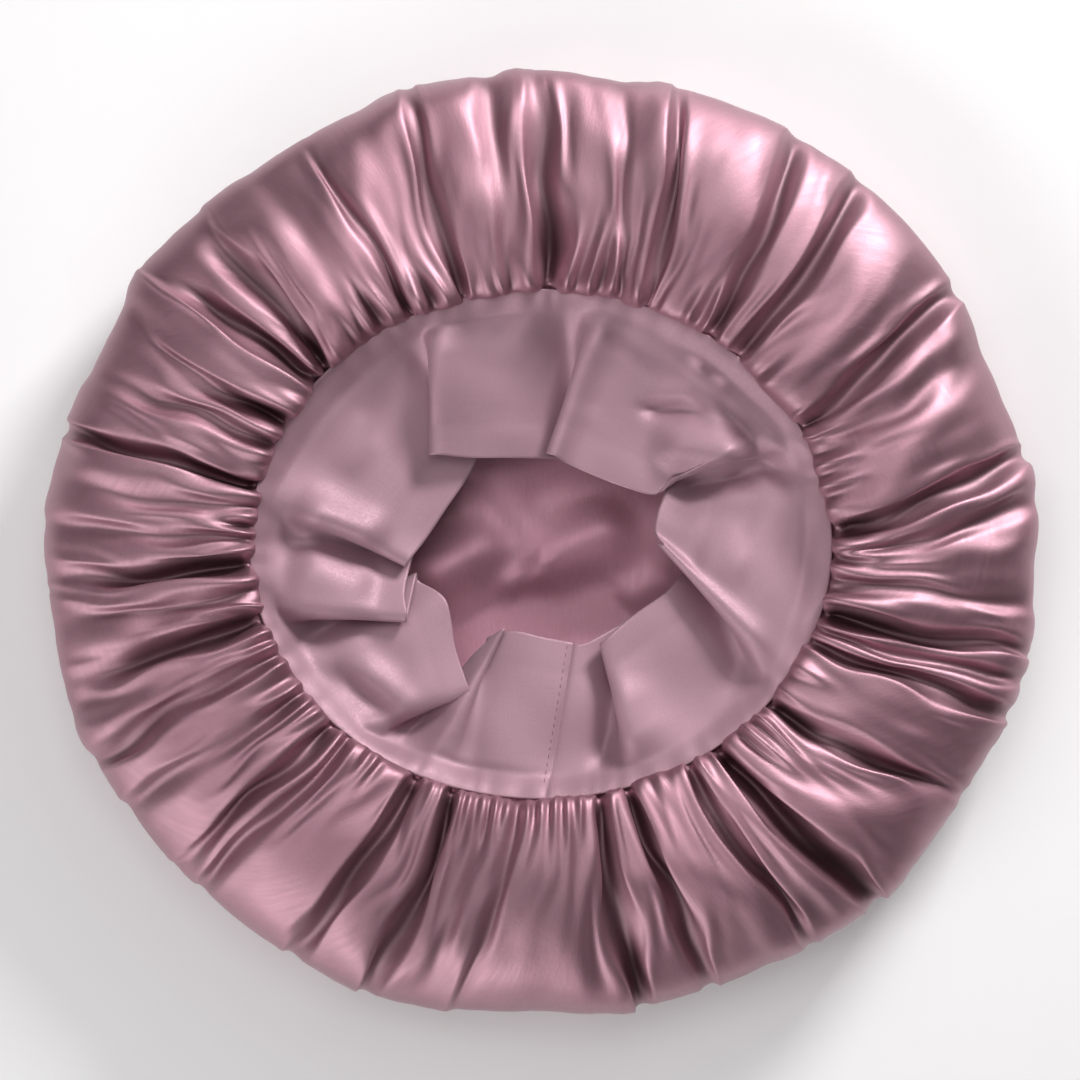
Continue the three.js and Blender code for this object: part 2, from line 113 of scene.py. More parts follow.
# Small puckers at the seam. Columns: angle at the seam ring; height over (+) or depth under (-) the
# ruffle in mm; how far it runs up the ruffle, as a share of the ruffle's width; half width in
# degrees, where that isn't PUCKER_WIDTH.
PUCKERS = [
    (0.8, 3, 0.12, 1.2), (3.2, -4, 0.2, 1.2), (7, 2, 0.1, 1), (9.5, -3, 0.1), (11.5, 3, 0.14, 1.2),
    (13.6, -3, 0.12), (15.4, 3, 0.14, 1.2), (17.5, -3, 0.08), (20, 2, 0.1, 1.6), (24, -5, 0.12, 1.2),
    (25.4, 3, 0.06), (35, 2, 0.1, 1.8), (37.6, -2.5, 0.06), (43.8, -4, 0.1), (48.5, 2, 0.1, 1),
    (51.5, -3.5, 0.12), (53.2, 4, 0.16), (54.4, -4.5, 0.14), (56, 3.5, 0.16, 1), (64.8, -3.5, 0.06),
    (68, 2, 0.1, 1.6), (72.5, -2, 0.1), (75.6, 4, 0.24, 1), (77.4, -4.5, 0.2), (79.2, 4, 0.24, 1),
    (82.8, -2.5, 0.16), (85, 3.5, 0.2, 1.2), (88.6, -5, 0.3, 1.3), (92, 2, 0.1, 1.2),
    (96.6, -2.5, 0.08), (97.8, 2, 0.08), (99, -2, 0.06), (104.6, -2, 0.05), (106, 1.5, 0.06),
    (107.2, -3, 0.1), (112, 3, 0.12, 1.2), (114, -4.5, 0.12, 1.2), (116.2, 3.5, 0.14, 1.2),
    (119.6, -4, 0.1), (124.4, 3, 0.2, 1), (125.8, -5, 0.16), (127.6, 3.5, 0.2, 1), (133, -3.5, 0.08),
    (137.4, 3, 0.2, 1.2), (141.2, -5, 0.3), (143, 2, 0.1), (144.2, -4, 0.3), (150.5, 2.5, 0.12, 1),
    (152.6, 3, 0.24), (154.6, -5, 0.24, 1.2), (156.6, 3.5, 0.26), (159.5, -2.5, 0.06), (162, 2, 0.1),
    (163.6, -2.5, 0.06), (168.4, -6, 0.3, 1), (172.6, -3, 0.06), (174.6, 3.5, 0.12),
    (176.4, -4.5, 0.1), (178.2, 2.5, 0.1), (182.2, 3, 0.2), (184, -4, 0.3, 1), (186.6, 3, 0.2),
    (188.4, -3, 0.1), (190.6, 3, 0.2, 1), (192.6, 2, 0.1), (193.9, -3, 0.14), (195.8, -4.5, 0.24, 1),
    (198, 3, 0.14), (199.8, -2.5, 0.06), (201.4, 3, 0.08), (202.8, -2.5, 0.06), (204.2, 3, 0.1),
    (207.6, -2.5, 0.16, 1.2), (210.6, 2.5, 0.16), (211.8, -3, 0.12), (213.6, 3, 0.14), (215, -2, 0.1),
    (216.2, 2.5, 0.14), (217.6, -2, 0.06), (220.4, -5, 0.16), (222.4, -2, 0.2), (225, -4, 0.1),
    (226.6, 2, 0.2), (229, 2, 0.08), (230.4, -3, 0.06), (231.8, 2.5, 0.1), (233, -3, 0.06),
    (241.8, -5, 0.2), (246, 2, 0.05), (248.6, 2, 0.05), (250.4, -6, 0.3), (252, 2.5, 0.14),
    (253.2, -3, 0.12), (254.4, 3, 0.16), (255.7, -3, 0.14), (257, 3.2, 0.2), (258.4, -3, 0.16),
    (259.8, 3, 0.14), (261, -2.5, 0.08), (262.6, 2.5, 0.08), (264.4, -2.5, 0.08), (266, 2, 0.08),
    (268.4, -2, 0.05), (270.6, 2, 0.06), (272, -2.5, 0.08), (274, 2, 0.08), (275.4, -2.5, 0.1),
    (276.6, 2.5, 0.14), (277.8, -2.5, 0.14), (279.2, 2.5, 0.14), (280.6, -2.5, 0.08),
    (283.2, -4, 0.3, 1.2), (289.4, -4, 0.3), (294.8, -3, 0.06), (299, -2, 0.04), (304.4, -3, 0.1),
    (306.6, 2, 0.1), (308.4, -3, 0.14), (311.4, -6, 0.4, 1.2), (316.6, -3, 0.2), (318.4, 3, 0.26),
    (319.8, -2.5, 0.16), (321.4, 2.5, 0.2), (323, -2, 0.1), (325.2, -5, 0.3), (329, 2, 0.1),
    (332.6, -2, 0.06), (334.4, 2.5, 0.14), (337.6, -2, 0.1), (340.6, -3, 0.1), (343.6, -2, 0.1),
    (346, -6, 0.3), (348.4, 3, 0.3), (350, -2.5, 0.16), (353, -2, 0.05), (355.4, 2, 0.06),
    (357.4, -4, 0.12), (359, 3, 0.14),
]

# The band, counter-clockwise from the right. A panel is one rib from the seam ring to the free
# edge; a pleat has an edge that shows and an edge tucked underneath. Columns: kind; angle at the
# seam ring; x and y of the free edge in mm (twice for a pleat, showing and tucked); its height in
# mm; for a panel, how far it stands up in mm; for a pleat, which side lies on top, and how far its
# top and bottom layers are from its middle in mm.
BAND = [
    ("pleat", 327.5, (38.4, -1.2), (55, -6), 34, "after", 7.0),
    ("panel", 338, (38.1, 2), 35, 2.4),
    ("panel", 352, (38.6, 8), 34, 2),
    ("panel", 8, (40.6, 14), 33, 1),
    ("pleat", 20, (42.6, 18.6), (45.5, 27), 33, "after", 4.4),
    ("panel", 33, (38.5, 15), 32, 3.4),
    ("panel", 45, (29, 17), 31.5, 3),
    ("panel", 57, (18.5, 21), 31, 2.5),
    ("panel", 68, (9.5, 25), 31, 2.4),
    ("pleat", 79.5, (1.8, 28.6), (14, 26.4), 31, "before", 5.6),
    ("panel", 94, (-10, 27.2), 31.5, 1.6),
    ("panel", 106, (-24, 27.2), 32, 2.4),
    ("pleat", 118, (-36.7, 28), (-17, 30), 33, "before", 5.6),
    ("panel", 131, (-23.5, 21.5), 28.5, -0.6),
    ("panel", 144, (-31, 10.5), 28, 1),
    ("panel", 158, (-38, 0), 29.5, 2.4),
    ("pleat", 173, (-44.6, -9), (-41, -3), 31, "before", 4.4),
    ("panel", 185, (-44.8, -17), 32, 2),
    ("pleat", 197, (-44.2, -27.5), (-40.8, -10.5), 32, "before", 6.0),
    ("panel", 207, (-32, -18.6), 30, -0.4),
    ("panel", 216, (-29.3, -27), 30, 0.6),
    ("panel", 222, (-28, -36), 30.5, 1.2),
    ("pleat", 229, (-22.6, -51), (-27, -42), 31, "before", 3.6),
    ("panel", 239, (-21, -37), 29.5, -0.6),
    ("pleat", 248, (-11.6, -29.2), (-17.5, -32.6), 30, "before", 1.8),
    ("panel", 258, (-9, -30), 29.5, 0),
    ("panel", 265, (0, -32), 29.5, 0.6),
    ("panel", 270.9, (10.4, -34), 29.6, 0.4),
    ("panel", 271.4, (11, -34.1), 29.6, -0.4),
    ("panel", 271.9, (11.6, -34.2), 29.6, 0.4),
    ("panel", 279, (15, -34.4), 29.8, 0.2),
    ("pleat", 288.5, (19.4, -34.6), (31, -25), 31, "after", 6.0),
    ("panel", 303, (31, -24.8), 31.5, 2),
    ("panel", 315, (43, -16), 31.5, 0.4),
]

# Soft folds pressed into the band. Columns: x, y of one end and of the other, in mm; reach to
# each side in mm; height over (+) or depth under (-) the cloth round it in mm.
BAND_DENTS = [
    (30, 43, 53, 44.5, 2.4, -3.0),
    (34, 31, 72, 28, 7.0, 6.0),
    (42, 16.5, 74, 22.5, 3.0, -6.0),
    (33, 43, 60, 40, 3.2, -2.6),
    (52, 53, 87, 12, 4.0, -3.0),
    (45, 61, 62, 47, 3.0, 1.6),
    (20, 68, 50, 52, 5.0, -1.6),
    (50, 12, 74, 4, 7.0, -1.8),
    (50, -6, 70, -10, 6.0, 1.4),
    (-78, 4, -50, -7, 3.2, -3.6),
    (-82, 12, -48, -1, 6.5, 4.0),
    (-84, -6, -52, -16, 8.0, 3.0),
    (-93, -15, -83, -30, 3.0, -2.0),
    (-72, -41, -46, -62, 4.0, -2.4),
    (-62, -40, -38, -57, 4.0, 1.8),
    (-60, -32, -40, -44, 5.0, -1.2),
    (-28, -54, -50, -66, 4.0, -2.0),
    (27, -44, 31, -74, 7.0, 1.2),
    (54, -26, 72, -50, 5.0, 0.8),
    (-58, 30, -46, 56, 5.0, -1.2),
    (-64, 20, -56, 44, 5.0, 1.4),
    (-12, 34, -10, 64, 9.0, -0.8),
    (14, 40, 22, 62, 7.0, -1.0),
]


def smooth(t):
    """From 0 to 1 with a flat start and a flat end."""
    t = np.clip(t, 0.0, 1.0)
    return t * t * (3 - 2 * t)


def noise_wave(x, y, seed, waves, longest):
    """A gentle random surface of a few crossing waves, between about -1 and 1. The shortest is
    about a third of the longest."""
    draw = np.random.default_rng(seed)
    total = np.zeros_like(x)
    for _ in range(waves):
        heading = draw.uniform(0, TURN)
        length = longest * draw.uniform(0.35, 1.0)
        phase = draw.uniform(0, TURN)
        total += np.sin((x * math.cos(heading) + y * math.sin(heading)) * TURN / length + phase)
    return total / math.sqrt(waves)


def uneven_wave(along, pace, stray, stray_pace):
    """A wave whose crests stray from an even spacing."""
    return np.sin(along * pace + stray * np.sin(along * stray_pace))


def hump(t, middle, reach):
    """A smooth hump of height 1 round the middle."""
    return math.exp(-(((t - middle) / reach) ** 2))


def ring_radius(theta, sizes):
    """The seam ring's radius at an angle."""
    a, b = sizes.seam_half_width, sizes.seam_half_depth
    return a * b / np.hypot(b * np.cos(theta), a * np.sin(theta))


def set_all(target, values):
    """Sets each named value on the target."""
    for name, value in values.items():
        setattr(target, name, value)


def make_piece(name, verts, faces, material):
    """A smooth-shaded object with its mesh and material."""
    mesh = bpy.data.meshes.new(name)
    mesh.from_pydata([tuple(v) for v in verts], [], faces)
    mesh.materials.append(material)
    piece = bpy.data.objects.new(name, mesh)
    bpy.context.scene.collection.objects.link(piece)
    shade_smooth(piece)
    return piece


def shade_smooth(piece):
    """Shades every face of the piece smooth."""
    piece.data.polygons.foreach_set("use_smooth", [True] * len(piece.data.polygons))


def bake(piece):
    """Leaves the piece as its modifiers make it, with no modifier on it."""
    graph = bpy.context.evaluated_depsgraph_get()
    mesh = bpy.data.meshes.new_from_object(piece.evaluated_get(graph))
    piece.modifiers.clear()
    old = piece.data
    piece.data = mesh
    bpy.data.meshes.remove(old)
    mesh.name = piece.name
    shade_smooth(piece)


def map_cut(piece, places, width):
    """Keeps where each point lay in the flat cloth, for the weave to follow."""
    corners = np.zeros(len(piece.data.loops), dtype=int)
    piece.data.loops.foreach_get("vertex_index", corners)
    layer = piece.data.uv_layers.new(name="cut")
    layer.data.foreach_set("uv", (places[corners] / width + 0.5).ravel())


def subdivide(piece):
    """Splits each square of the piece into four and rounds them."""
    change = piece.modifiers.new("finer", "SUBSURF")
    change.levels = 1
    change.render_levels = 1
    bake(piece)


def ring_faces(rows, columns):
    """Squares of a grid whose rows close on themselves."""
    faces = []
    for low in range(0, (rows - 1) * columns, columns):
        high = low + columns
        for i in range(columns):
            k = (i + 1) % columns
            faces.append((low + i, low + k, high + k, high + i))
    return faces


def close_middle(piece, reach):
    """Fills the hole round the middle of a bag's underside with a fan of triangles."""
    shape = bmesh.new()
    shape.from_mesh(piece.data)
    middle = Vector(RING_MIDDLE)
    rim = [e for e in shape.edges if e.is_boundary and (e.verts[0].co.xy - middle).length < reach]
    height = sum(e.verts[0].co.z for e in rim) / len(rim)
    centre = shape.verts.new((*RING_MIDDLE, height))
    for edge in rim:
        loop = edge.link_loops[0]
        face = shape.faces.new((loop.link_loop_next.vert, loop.vert, centre))
        face.smooth = True
    shape.to_mesh(piece.data)
    shape.free()


# ---------------------------------------------------------------- crown

CROWN_COLUMNS = 544
FLAT_ROWS = (0.12, 0.26, 0.38)  # rows of the hidden underside, as shares of the circle's radius
RUFFLE_ROWS = (0.45, 0.94, 35)  # first, last and number of the rows over the rim and the ruffle
SEAM_ROWS = (0.948, 1.0, 7)  # the same beside the seam
CROWN_MIDDLE = 50 * MM  # the crown's middle is closed with a fan, and its hole lies within this

MIDWAY_RADIUS = 125 * MM  # the ruffle's radius half way from the rim to the seam ring
RIM_STATION = 6  # the last station that the table and the lining hold out, counting the middle
RIM_FADE = 0.45  # share of the way to the ring over which a fold's height leaves the rim's
RIM_SWELL = 0.3  # share of the folds' height that shows in the outline
SLOPES = np.linspace(0.0, 2.1, 85)  # the half folds' slopes, up to the steepest in radians
FOLD_STEPS = 65
ROUND_TOP = 2.5  # how broad a fold's top is beside its valley
SCALE_HALVINGS = 30  # steps of the search for how tall a row's folds are

WANDER_SEED = 21
WANDER_WAVES = (0.6, 1.6)  # fewest and most waves of a crease on its way to the ring
WANDER_REACH = (0.2, 1.1)  # least and most that it strays to the side, in degrees

PUCKER_WIDTH = 0.9  # half width in degrees of most puckers
PUCKER_GROWTH = 1.5  # how much taller the puckers are than their table says
PUCKER_FOLD = 0.5  # strength of the folds from which the puckers are whole
SEAM_LEAN = 4.8 * MM  # how far the folds' tops lean in over the band at the seam
LEAN_REACH = 0.07  # share of the ruffle's width over which they lean
LEAN_HEIGHT = 3 * MM  # height of a fold that leans in full
LEAN_BACK = -0.5  # the most that a valley leans the other way, as a share
LEAN_SPREAD = 3  # columns to each side that the lean is evened over
LEAN_FOLD = 0.4  # strength of the folds from which the lean is whole

EASE_STEP = 0.25  # share of a bend that one pass of easing takes out
DEPTH_SPAN = 8  # columns to each side that a point's height is compared with
FULL_SHADE_DEPTH = 6 * MM  # depth under them at which the shade painted into the satin's folds is darkest

# How the satin behaves while it settles, beside what BonnetSettle sets.
SATIN_CLOTH = {
    "quality": 6, "mass": 0.0001, "vertex_group_mass": "held", "pin_stiffness": 1.0,
    "shear_stiffness": 3, "tension_damping": 5, "compression_damping": 5, "shear_damping": 2,
    "bending_damping": 0.1, "air_damping": 2, "use_pressure": True,
}
SATIN_TOUCH = {
    "use_self_collision": True, "self_distance_min": 1.2 * MM, "distance_min": 0.5 * MM,
    "collision_quality": 2,
}


def half_fold(peak):
    """Across and down a half fold whose slope angle swells to a peak and back."""
    q = np.linspace(0, 1, FOLD_STEPS)
    slope = peak * np.sin(np.pi * q)
    mid = (slope[1:] + slope[:-1]) / 2
    across = np.concatenate([[0], np.cumsum(np.cos(mid))]) / (FOLD_STEPS - 1)
    down = np.concatenate([[0], np.cumsum(np.sin(mid))]) / (FOLD_STEPS - 1)
    return q, across, down


HALF_FOLDS = [half_fold(peak) for peak in SLOPES]
FOLD_STEEPNESS = np.array([down[-1] / across[-1] for _, across, down in HALF_FOLDS])
FOLD_STRETCH = np.array([1 / across[-1] for _, across, _ in HALF_FOLDS])


def crown_section(edge, sizes):
    """The bag's stations as arrays, with the length of cloth from the middle to each."""
    top_in = UNDER[-1][0] * MM
    start = edge.mean() - top_in
    seam = (sizes.seam_half_width + sizes.seam_half_depth) / 2
    radii = [0.0] + [edge.mean() - row[0] * MM for row in UNDER]
    radii += [start + (seam - start) * row[0] for row in OVER]
    heights = [0.0] + [row[1] * MM for row in UNDER + OVER]
    out_step = np.gradient(np.array(radii))
    up_step = np.gradient(np.array(heights))
    step = np.hypot(out_step, up_step)
    return {
        "length": np.concatenate([[0], np.cumsum(np.hypot(np.diff(radii), np.diff(heights)))]),
        "outward": up_step / step,
        "upward": -out_step / step,
        "height": heights,
        "inward": [edge.mean()] + [row[0] * MM for row in UNDER] + [top_in] * len(OVER),
        "along": [0.0] * (1 + len(UNDER)) + [row[0] for row in OVER],
        "fold": [0.0] + [row[2] for row in UNDER + OVER],
        "fullness": [1.0] + [row[3] for row in UNDER + OVER],
    }


def fold_scale(drops, gaps, need, limit):
    """How much the creases' heights grow so that the row takes up all of its cloth."""
    low, high = 0.0, limit
    for _ in range(SCALE_HALVINGS):
        middle = (low + high) / 2
        stretch = np.interp(np.abs(drops) * middle / gaps, FOLD_STEEPNESS, FOLD_STRETCH)
        if (stretch * gaps).sum() / gaps.sum() < need:
            low = middle
        else:
            high = middle
    return low


def crease_wander(count):
    """How far each crease strays to the side on its way from the rim to the ring."""
    draw = np.random.default_rng(WANDER_SEED)
    phase = draw.uniform(0, TURN, count)
    waves = draw.uniform(*WANDER_WAVES, count)
    reach = np.radians(draw.uniform(*WANDER_REACH, count))

    def stray(along):
        return reach * np.sin(phase + waves * TURN * along) * math.sin(math.pi * min(along, 1.0))

    return stray


def gather_height(theta, along):
    """The small puckers that the seam's thread pulls up, each fading out over the ruffle."""
    total = np.zeros_like(theta)
    for place, height, length, *width in PUCKERS:
        off = (np.degrees(theta) - place + 180) % 360 - 180
        fade = hump(along, 1, length) if along < 1 else 1.0
        wide = width[0] if width else PUCKER_WIDTH
        total += PUCKER_GROWTH * height * MM * fade * np.exp(-((off / wide) ** 2))
    return total


def slack_shape(radii, reach, u):
    """The bag without its folds: each row a plain circle as long as its cloth."""
    step = np.diff(reach)
    rise = np.sqrt(np.maximum(step**2 - np.diff(radii) ** 2, 0.0))
    height = np.concatenate([[0], np.cumsum(rise)])
    shape = np.zeros((len(reach), len(u), 3))
    shape[:, :, 0] = np.outer(radii, np.cos(u * TURN))
    shape[:, :, 1] = np.outer(radii, np.sin(u * TURN))
    shape[:, :, 2] = height[:, None]
    return shape.reshape(-1, 3)


def follow_folds(half, q, peaks):
    """How far each column is across its half fold and how far down it, as shares."""
    across = np.zeros(len(q))
    down = np.zeros(len(q))
    for j, nearest in enumerate(np.searchsorted(SLOPES, peaks)):
        here = half == j
        steps, to_side, fall = HALF_FOLDS[min(nearest, len(SLOPES) - 1)]
        across[here] = np.interp(q[here], steps, to_side) / to_side[-1]
        down[here] = np.interp(q[here], steps, fall) / fall[-1] if fall[-1] > 0 else q[here]
    return across, down


def seam_lean(along, fold, swell):
    """How far in over the band the folds' tops lean, near the seam."""
    lean = SEAM_LEAN * hump(along, 1, LEAN_REACH) * np.clip(swell / LEAN_HEIGHT, LEAN_BACK, 1)
    beside = range(-LEAN_SPREAD, LEAN_SPREAD + 1)
    return sum(np.roll(lean, shift) for shift in beside) / len(beside) * min(1.0, fold / LEAN_FOLD)


def crown_grid(columns, rows, sizes, settle):
    """Where each point lay in the flat circle, the gathered bag, the bag without its folds, each
    row's distance from the circle's middle, and that of the rim. A column's place is u round the
    cloth and q down its half fold, both as shares."""
    creases = np.array(CREASES, dtype=float).T
    seam, rim = np.radians(creases[:2])
    edge, rise, rim_rise = creases[2:] * MM
    count = len(seam)
    section = crown_section(edge, sizes)
    length = section["length"]
    reach = rows * length[-1] / rows[-1]

    middle = (seam + rim) / 2
    gaps = np.diff(np.append(middle, middle[0] + TURN)) * MIDWAY_RADIUS
    folded = np.hypot(gaps, rise - np.roll(rise, -1))
    share = gaps / gaps.sum() + folded / folded.sum()
    share /= share.sum()
    start = np.concatenate([[0], np.cumsum(share)])
    u = (np.arange(columns) + 0.5) / columns
    half = np.clip(np.searchsorted(start, u, side="right") - 1, 0, count - 1)
    q = (u - start[half]) / share[half]
    following = (half + 1) % count
    wrap = np.where(following == 0, TURN, 0.0)

    cut = np.stack([np.outer(reach, np.cos(u * TURN)), np.outer(reach, np.sin(u * TURN))], axis=2)
    bag = np.zeros((len(reach), columns, 3))
    slack = []
    wander = crease_wander(count)
    for k, t in enumerate(reach):
        here = {name: np.interp(t, length, values) for name, values in section.items()}
        along, fold = here["along"], here["fold"]
        angle = rim + (seam - rim) * along + wander(along)
        if t < length[1]:
            radius = np.full(count, t)
        else:
            radius = (edge - here["inward"]) * (1 - along) + ring_radius(angle, sizes) * along
        gaps = np.diff(np.append(angle, angle[0] + TURN)) * radius.mean()
        lift = (rim_rise + (rise - rim_rise) * smooth(along / RIM_FADE)) * fold
        drops = lift - np.roll(lift, -1)
        scale = 0.0
        if fold > 0:
            scale = fold_scale(drops, gaps, here["fullness"], settle.tallest_fold)
        peaks = np.interp(np.abs(drops) * scale / gaps, FOLD_STEEPNESS, SLOPES)
        across, down = follow_folds(half, q, peaks)
        theta = angle[half] + (angle[following] + wrap - angle[half]) * across
        r = radius[half] + (radius[following] - radius[half]) * smooth(q)
        fallen = np.where(drops[half] > 0, down**ROUND_TOP, 1 - (1 - down) ** ROUND_TOP)
        swell = (lift[half] - drops[half] * fallen) * scale
        lean = seam_lean(along, fold, swell)
        swell += gather_height(theta, along) * min(1.0, fold / PUCKER_FOLD)
        r += swell * here["outward"] * RIM_SWELL - lean
        bag[k, :, 0] = r * np.cos(theta) + RING_MIDDLE[0]
        bag[k, :, 1] = r * np.sin(theta) + RING_MIDDLE[1]
        bag[k, :, 2] = here["height"] + swell * abs(here["upward"]) + LIFT
        slack.append(min(t, radius.mean() * here["fullness"]))
    shape = slack_shape(np.array(slack), reach, u)
    return cut.reshape(-1, 2), bag.reshape(-1, 3), shape, reach, length[RIM_STATION]


def settle_crown(piece, bag, slack, reach, rim_reach, columns, settle):
    """Lets the gathered satin find its own folds, held at the seam ring and lying on the table."""
    held = piece.vertex_groups.new(name="held")
    for k, t in enumerate(reach):
        past = (t - rim_reach) / (reach[-1] - rim_reach)
        hold = max(settle.rim_hold * max(0.0, 1 - past / settle.rim_reach) ** 2, settle.hold)
        if past < 0.0 or k == len(reach) - 1:
            hold = 1.0
        held.add(range(k * columns, (k + 1) * columns), hold, "REPLACE")
    piece.shape_key_add(name="Basis")
    unfolded = piece.shape_key_add(name="unfolded")
    unfolded.data.foreach_set("co", slack.ravel())

    cloth = piece.modifiers.new("settle", "CLOTH")
    set_all(cloth.settings, SATIN_CLOTH)
    cloth.settings.rest_shape_key = unfolded
    cloth.settings.tension_stiffness = settle.stretch_stiffness
    cloth.settings.compression_stiffness = settle.stretch_stiffness
    cloth.settings.bending_stiffness = settle.bend_stiffness
    cloth.settings.effector_weights.gravity = settle.gravity
    cloth.settings.uniform_pressure_force = settle.pressure
    set_all(cloth.collision_settings, SATIN_TOUCH)
    cloth.point_cache.frame_start = 1
    cloth.point_cache.frame_end = settle.frames
    for number in range(1, settle.frames + 1):
        bpy.context.scene.frame_set(number)
    bake(piece)
    bpy.context.scene.frame_set(1)

    settled = np.zeros(len(piece.data.vertices) * 3)
    piece.data.vertices.foreach_get("co", settled)
    share = settle.settled_share
    mixed = (settled * share + bag.ravel() * (1 - share)).reshape(len(reach), columns, 3)
    first = int(np.searchsorted(reach, rim_reach)) - 2
    for _ in range(settle.easing):
        bend = mixed[first - 1:-2] - 2 * mixed[first:-1] + mixed[first + 1:]
        mixed[first:-1] += EASE_STEP * bend
    piece.data.vertices.foreach_set("co", mixed.ravel())


def mark_fold_shade(piece, rows, columns):
    """Keeps how far each point lies down in a fold, from 0 to 1, as the mask for the shade painted into the
    satin's folds.
    """
    places = np.zeros(rows * columns * 3)
    piece.data.vertices.foreach_get("co", places)
    height = places.reshape(rows, columns, 3)[:, :, 2]
    around = np.zeros_like(height)
    for shift in range(-DEPTH_SPAN, DEPTH_SPAN + 1):
        around += np.roll(height, shift, axis=1) / (2 * DEPTH_SPAN + 1)
    depth = smooth((around - height) / FULL_SHADE_DEPTH)
    layer = piece.data.attributes.new("fold_depth", "FLOAT", "POINT")
    layer.data.foreach_set("value", depth.ravel())


def build_crown(sizes, colours, settle):
    """The outer bag, gathered to the seam ring and settled."""
    columns = CROWN_COLUMNS
    rows = np.concatenate([FLAT_ROWS, np.linspace(*RUFFLE_ROWS), np.linspace(*SEAM_ROWS)])
    cut, bag, slack, reach, rim_reach = crown_grid(columns, rows, sizes, settle)
    width = 2 * reach[-1]
    material = satin("satin", colours.satin, colours.satin_shine, width)
    piece = make_piece("crown_satin", bag, ring_faces(len(rows), columns), material)
    map_cut(piece, cut, width)
    settle_crown(piece, bag, slack, reach, rim_reach, columns, settle)
    mark_fold_shade(piece, len(rows), columns)
    subdivide(piece)
    close_middle(piece, CROWN_MIDDLE)
    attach(piece, "root")
    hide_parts("crown_outer")


# ---------------------------------------------------------------- lining

# The lining's section. Columns: distance in from the rim, or share of the way to the seam ring;
# height in mm.
LINING_UNDER = [(52, 1.6), (34, 1.8), (16, 4.4), (4, 11), (1, 19), (7, 27)]
LINING_OVER = [(0.2, 31), (0.4, 34), (0.7, 36.5), (0.92, 38)]

CREASE_END = 0.3  # share of a soft crease's length over which each end fades
LINING_COLUMNS = 180
LINING_MIDDLE = 30 * MM  # the hole in its middle lies within this
LINING_OUTSIDE = 2 * MM  # how far its mouth is outside the seam ring
EVEN_RIM = (161, 4.5, 1.2)  # mm; mean radius of a rim without corners, extra width, shift back
FLOOR_RINGS = (0.06, 1, 26)  # first, last and number of the floor's rows, as shares of its width
FLOOR_LIFT = 2.2 * MM  # how far the floor stands up off the crown
FLOOR_FADE = 20 * MM  # height over which the floor turns into the side
FLOOR_WAVES = 0.8 * MM
FLOOR_NOISE = (5, 7, 110 * MM)  # seed, number of waves and the longest
FLOOR_DIP = 0.5 * MM  # the most that the floor's creases dip
LINING_GATHER = 1.6 * MM
LINING_GATHERS = (46, 2, 5)  # their number, and how they stray
LINING_STEPS = (0.25, 0.5, 0.75, 1.0)  # shares of the way from a station to the next

# Soft creases of the lining's floor. Columns: x, y of one end and of the other, in mm; reach to
# each side in mm; height over (+) or depth under (-) the floor in mm.
LINING_CREASES = [
    (-8, -13, 34, 9, 10, 4.6),
    (-10, 10, 26, 26, 8, -1.6),
    (-46, -17, -10, 3, 9, 3.6),
    (-44, 8, -16, 20, 8, -1.4),
    (-16, -17, 6, -8, 4.5, 1.8),
    (24, -22, 48, -10, 6, 1.8),
    (-30, -34, 34, -26, 9, -1.4),
]


def crease_height(x, y, creases):
    """How far a list of soft creases lifts or lowers the points x, y."""
    total = np.zeros_like(x)
    for x1, y1, x2, y2, reach, height in creases:
        start = np.array([x1, y1]) * MM
        run = np.array([x2, y2]) * MM - start
        along = ((x - start[0]) * run[0] + (y - start[1]) * run[1]) / (run @ run)
        near = np.clip(along, 0, 1)
        gap = np.hypot(x - start[0] - near * run[0], y - start[1] - near * run[1]) / (reach * MM)
        ends = smooth(near / CREASE_END) * smooth((1 - near) / CREASE_END)
        total += height * MM * np.exp(-gap * gap) * ends
    return total


